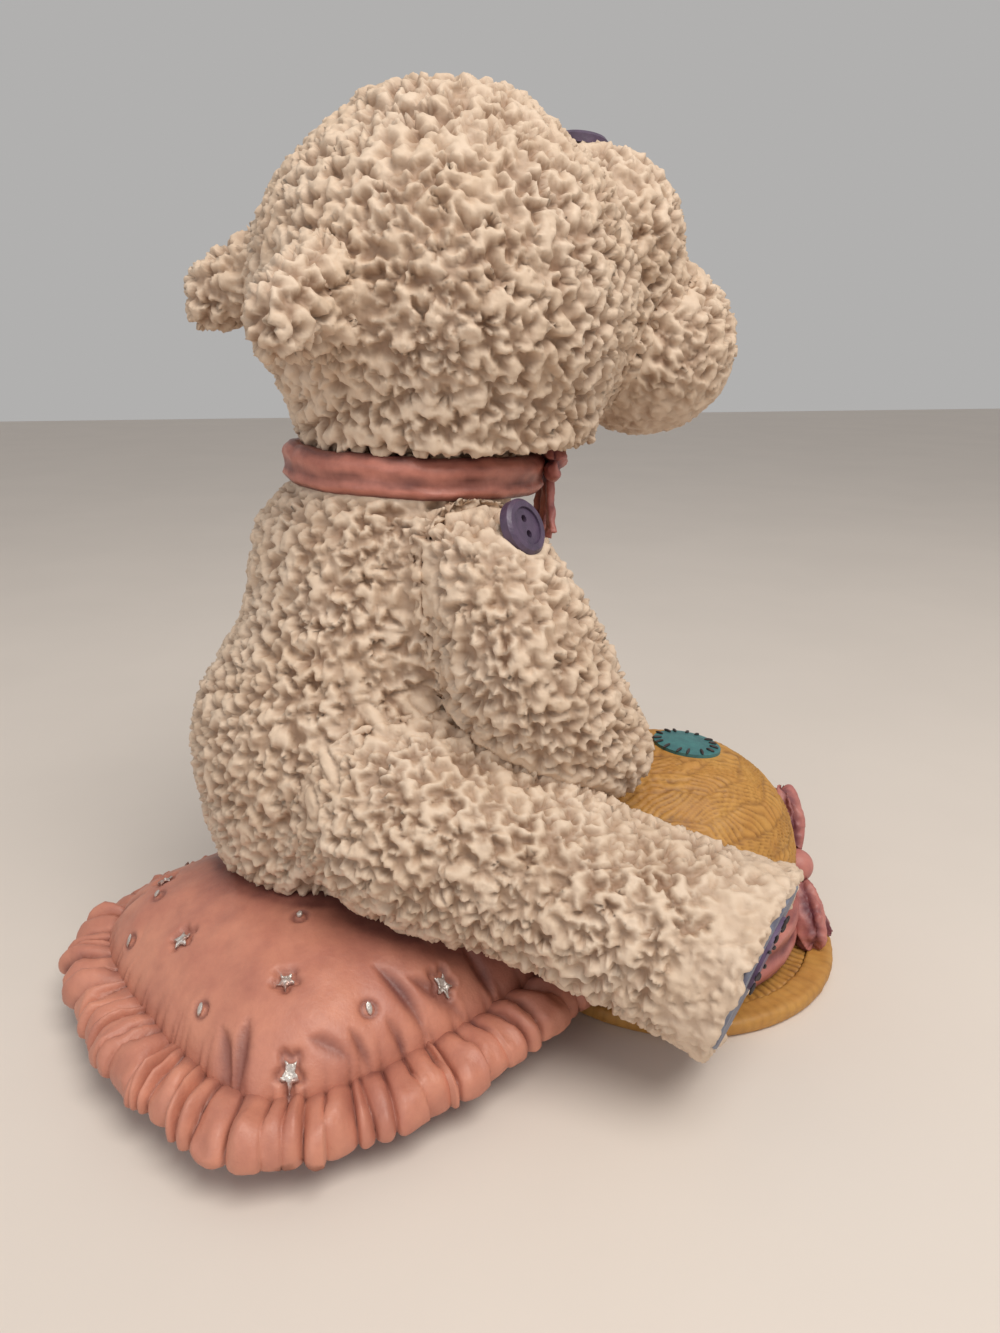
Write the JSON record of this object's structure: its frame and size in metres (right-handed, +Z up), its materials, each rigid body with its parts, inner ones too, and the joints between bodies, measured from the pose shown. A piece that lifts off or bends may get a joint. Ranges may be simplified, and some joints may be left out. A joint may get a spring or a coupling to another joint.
{
  "type": "sheep figurine",
  "caption": "Seated toy lamb figurine in cast resin, on a ruffled pillow, with buttons at its joints and a straw hat between its feet.",
  "frame": {"origin": "on the table plane, under the middle of the lamb's seat", "axes": "+Z up, the lamb faces -Y, its own right side is -X"},
  "size_m": [0.0924, 0.1054, 0.1079],
  "materials": {
    "wool": "cast resin punched all over like looped wool, matt ivory paint with a brown wash in the pits",
    "pillow": "cast resin, matt coral pink paint with a brown wash in the creases",
    "pillow_underside": "cast resin, matt blue-grey to purple paint",
    "eye": "glossy black bead",
    "stitching": "dark brown-grey paint on raised stitches",
    "sole": "matt blue-grey paint",
    "sole_patch": "matt dusty purple paint",
    "button": "satin dark purple paint",
    "ribbon": "matt dusty coral paint, darker in the folds",
    "straw": "matt straw yellow paint with a brown wash between the strokes of the weave",
    "hat_patch": "matt teal paint",
    "silver_trim": "silver paint"
  },
  "bodies": {
    "root": {"pillow_back": "pillow_underside", "pillow_top": "pillow", "pillow_ruffle": "pillow", "torso": "wool", "head": "wool", "muzzle": "wool", "ear_right": "wool", "ear_left": "wool", "eyes": "eye", "nose_stitching": "stitching", "mouth_stitching": "stitching", "leg_right": "wool", "leg_left": "wool", "sole_pad_right": "sole", "sole_pad_left": "sole", "sole_patch_right": "sole_patch", "sole_patch_left": "sole_patch", "arm_right": "wool", "arm_left": "wool", "shoulder_button_right": "button", "shoulder_button_left": "button", "forehead_button": "button", "neck_ribbon": "ribbon", "bow_knot": "ribbon", "bow_loop_right": "ribbon", "bow_loop_left": "ribbon", "bow_tail_right": "ribbon", "bow_tail_left": "ribbon", "hat_crown": "straw", "hat_brim": "straw", "hat_rim_band": "straw", "hat_ribbon": "ribbon", "hat_bow_knot": "ribbon", "hat_bow_loop_left": "ribbon", "hat_bow_loop_right": "ribbon", "hat_bow_tail_left": "ribbon", "hat_bow_tail_right": "ribbon", "hat_patch": "hat_patch", "pillow_stars": "silver_trim", "pillow_beads": "silver_trim"}
  },
  "joints": []
}
